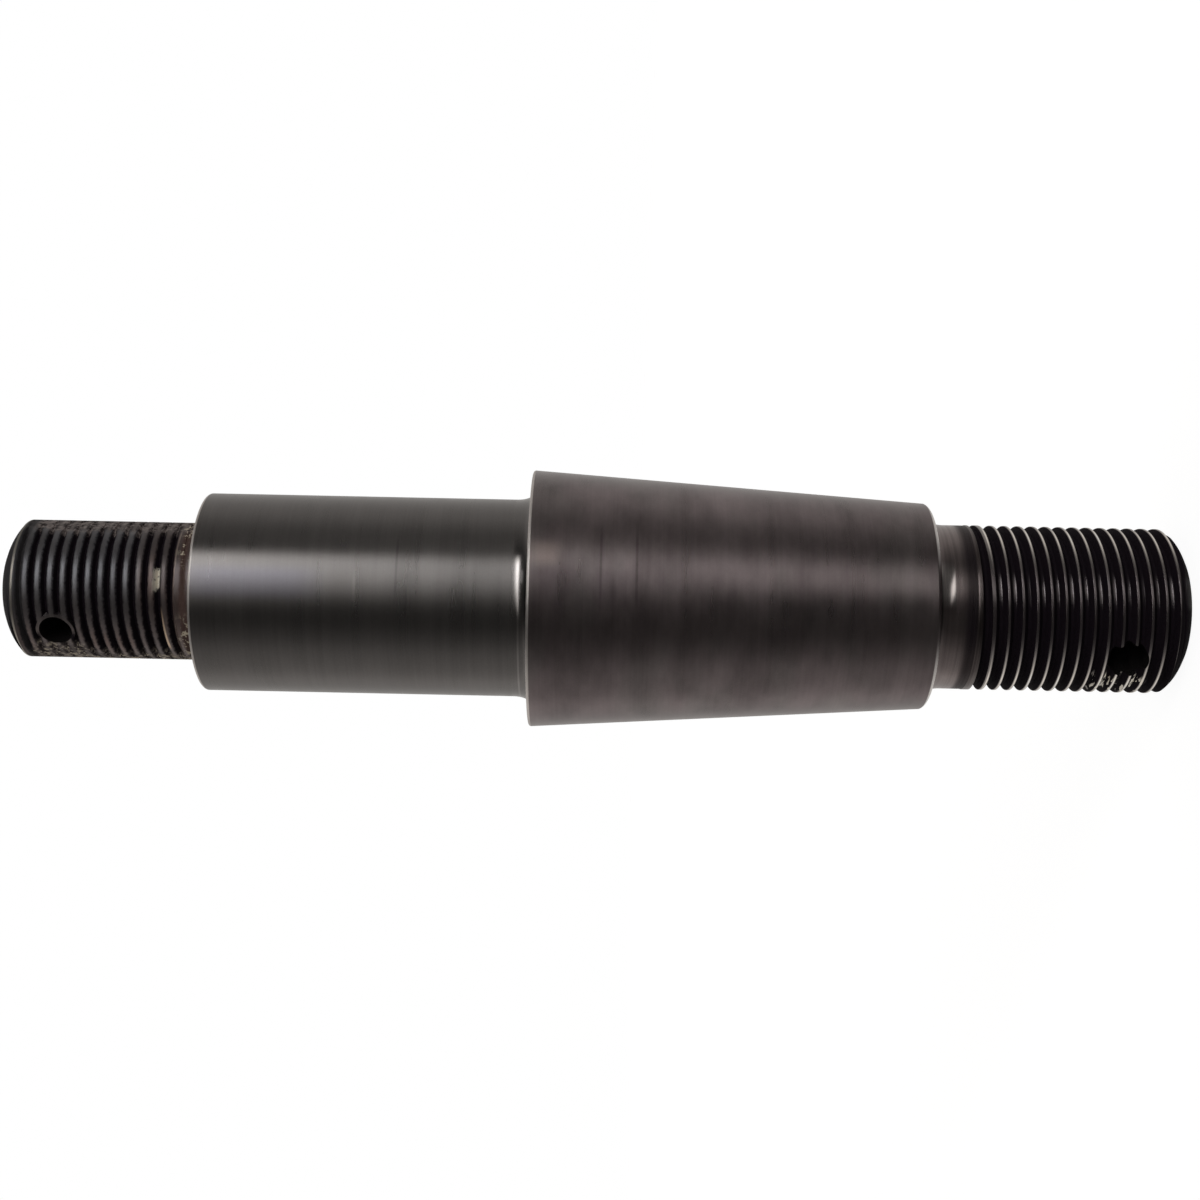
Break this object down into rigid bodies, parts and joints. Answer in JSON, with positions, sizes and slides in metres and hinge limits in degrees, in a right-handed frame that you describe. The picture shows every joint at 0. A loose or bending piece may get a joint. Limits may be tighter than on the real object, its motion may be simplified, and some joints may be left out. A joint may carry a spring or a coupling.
{
  "type": "support pin",
  "caption": "Turned steel support pin with a seat taper, a round journal and threaded, cross-drilled ends.",
  "frame": {"origin": "centre of the flat face of the large threaded end, which the pin stands on", "axes": "+Z along the pin's axis towards the small threaded end, Y along both split pin holes"},
  "size_m": [0.0296, 0.0296, 0.1339],
  "materials": {
    "dark_steel": "turned steel, blackened and oiled, satin"
  },
  "bodies": {
    "root": {"support_pin": "dark_steel"}
  },
  "joints": []
}
